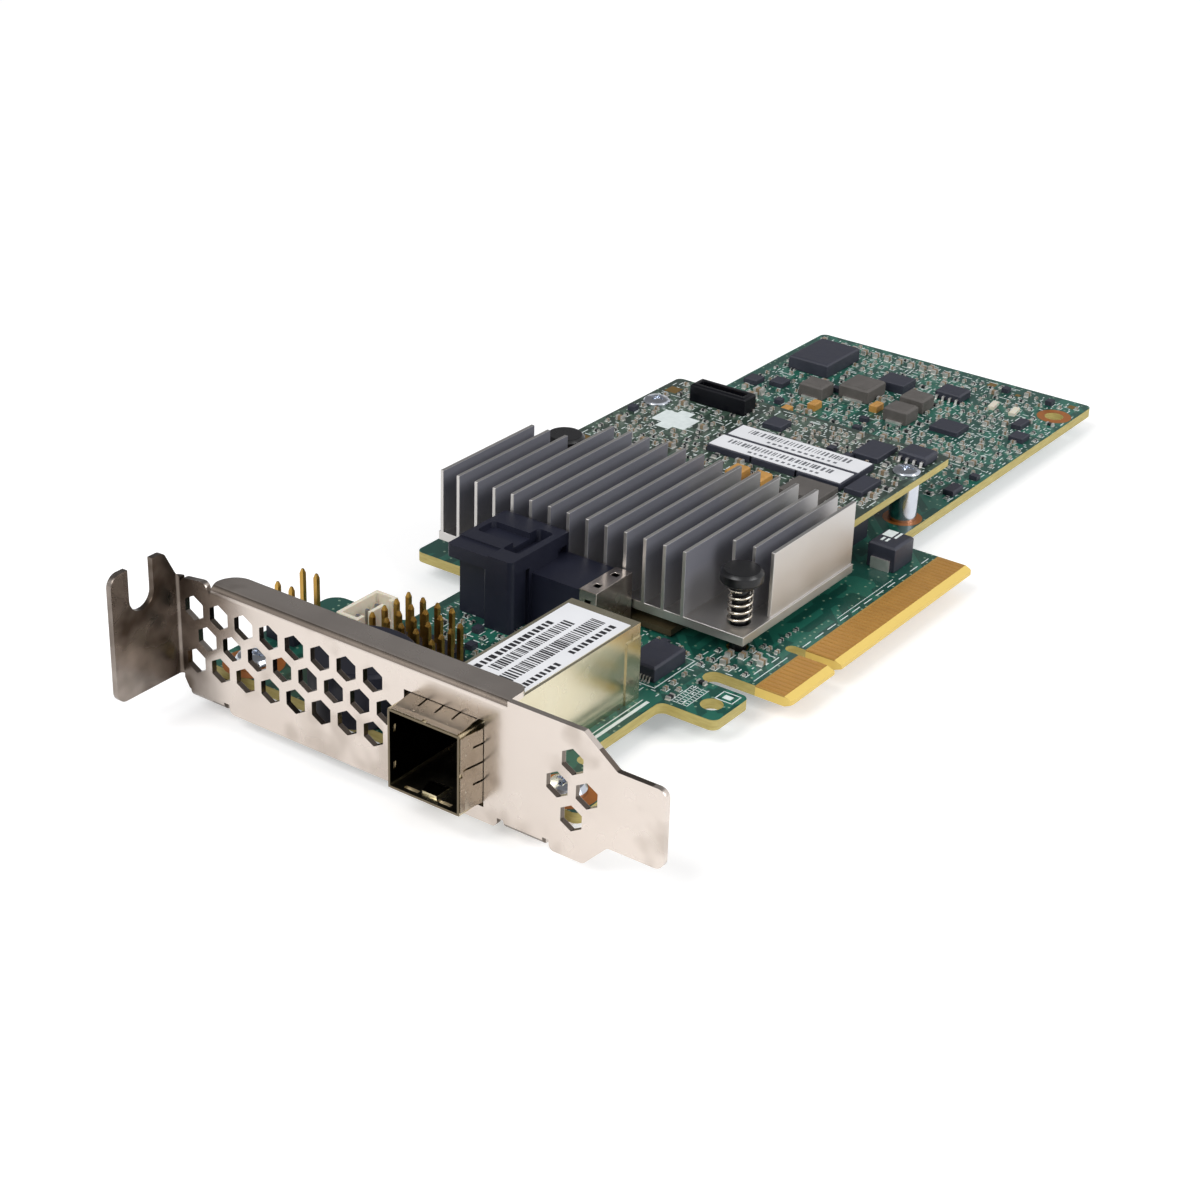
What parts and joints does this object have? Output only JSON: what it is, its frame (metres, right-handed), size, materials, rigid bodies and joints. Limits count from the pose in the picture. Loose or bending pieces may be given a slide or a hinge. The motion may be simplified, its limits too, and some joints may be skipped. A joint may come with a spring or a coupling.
{
  "type": "raid controller card",
  "caption": "Low-profile storage controller card with slot bracket, caged external port, internal port, finned heatsink on sprung pins and a stacked cache board.",
  "frame": {"origin": "middle of the key slot in the edge contacts, at the contact ends, on the component side of the board", "axes": "+X along the card from the bracket to the rear end, +Y from the edge contacts to the long top edge, +Z out of the component side"},
  "size_m": [0.1794, 0.0792, 0.0241],
  "materials": {
    "board_laminate": "solder-masked glass-fibre laminate",
    "gold_contact": "gold-plated copper alloy",
    "nickel_plated_steel": "nickel-plated sheet steel",
    "bright_screw_steel": "bright zinc-plated steel",
    "black_moulding": "black glass-filled plastic",
    "white_moulding": "natural white plastic",
    "label_paper": "white paper label with plain bars",
    "extruded_aluminium": "extruded aluminium, satin",
    "spring_steel": "spring wire",
    "chip_body": "moulded black epoxy",
    "die_cover": "nickel-plated copper lid",
    "pad_grey": "soft thermal pad",
    "tin_plate": "tinned copper alloy",
    "tantalum_yellow": "moulded tan resin",
    "ceramic_tan": "ceramic capacitor body",
    "resistor_black": "glazed resistor body",
    "inductor_grey": "pressed iron powder",
    "lamp_clear": "clear resin"
  },
  "bodies": {
    "card": {"main_board": "board_laminate", "edge_contacts": "gold_contact", "slot_bracket": "nickel_plated_steel", "bracket_screws": "bright_screw_steel", "external_port_cage": "nickel_plated_steel", "external_port_gasket": "nickel_plated_steel", "external_port_receptacle": "black_moulding", "external_port_contacts": "gold_contact", "cage_label": "label_paper", "internal_port_housing": "black_moulding", "internal_port_contacts": "gold_contact", "internal_port_clip": "nickel_plated_steel", "heatsink": "extruded_aluminium", "controller_substrate": "board_laminate", "controller_solder_grid": "tin_plate", "controller_lid": "die_cover", "thermal_pad": "pad_grey", "pin_spring_front": "spring_steel", "pin_spring_rear": "spring_steel", "cache_board": "board_laminate", "cache_standoffs": "bright_screw_steel", "cache_screws": "bright_screw_steel", "stack_socket": "black_moulding", "stack_plug": "black_moulding", "memory_chips": "chip_body", "memory_labels": "label_paper", "power_monitor_chip": "chip_body", "buffer_chip": "chip_body", "flash_chip": "chip_body", "charger_chip": "chip_body", "filter_capacitors": "tantalum_yellow", "cache_soic": "chip_body", "tantalum_capacitors": "tantalum_yellow", "power_socket": "black_moulding", "power_socket_contacts": "gold_contact", "sounder": "black_moulding", "header_bases": "black_moulding", "header_pins": "gold_contact", "cable_socket": "white_moulding", "cable_socket_pins": "tin_plate", "choke": "chip_body", "power_inductors": "inductor_grey", "inductor_terminals": "tin_plate", "regulator_module": "chip_body", "regulator_chips": "chip_body", "small_outline_chips": "chip_body", "small_outline_leads": "tin_plate", "interface_chip": "chip_body", "crystal": "bright_screw_steel", "status_lights": "lamp_clear", "ceramic_capacitors": "ceramic_tan", "chip_resistors": "resistor_black", "cache_capacitors": "ceramic_tan"},
    "front_push_pin": {"push_pin_front": "black_moulding"},
    "rear_push_pin": {"push_pin_rear": "black_moulding"}
  },
  "joints": [
    {"name": "front_pin_press", "type": "slide", "parent": "card", "child": "front_push_pin", "axis": [0, 0, -1], "range_m": [0, 0.0015], "stiffness_N_per_m": 1500, "deforming": ["pin_spring_front"]},
    {"name": "rear_pin_press", "type": "slide", "parent": "card", "child": "rear_push_pin", "axis": [0, 0, -1], "range_m": [0, 0.0015], "stiffness_N_per_m": 1500, "deforming": ["pin_spring_rear"]}
  ]
}
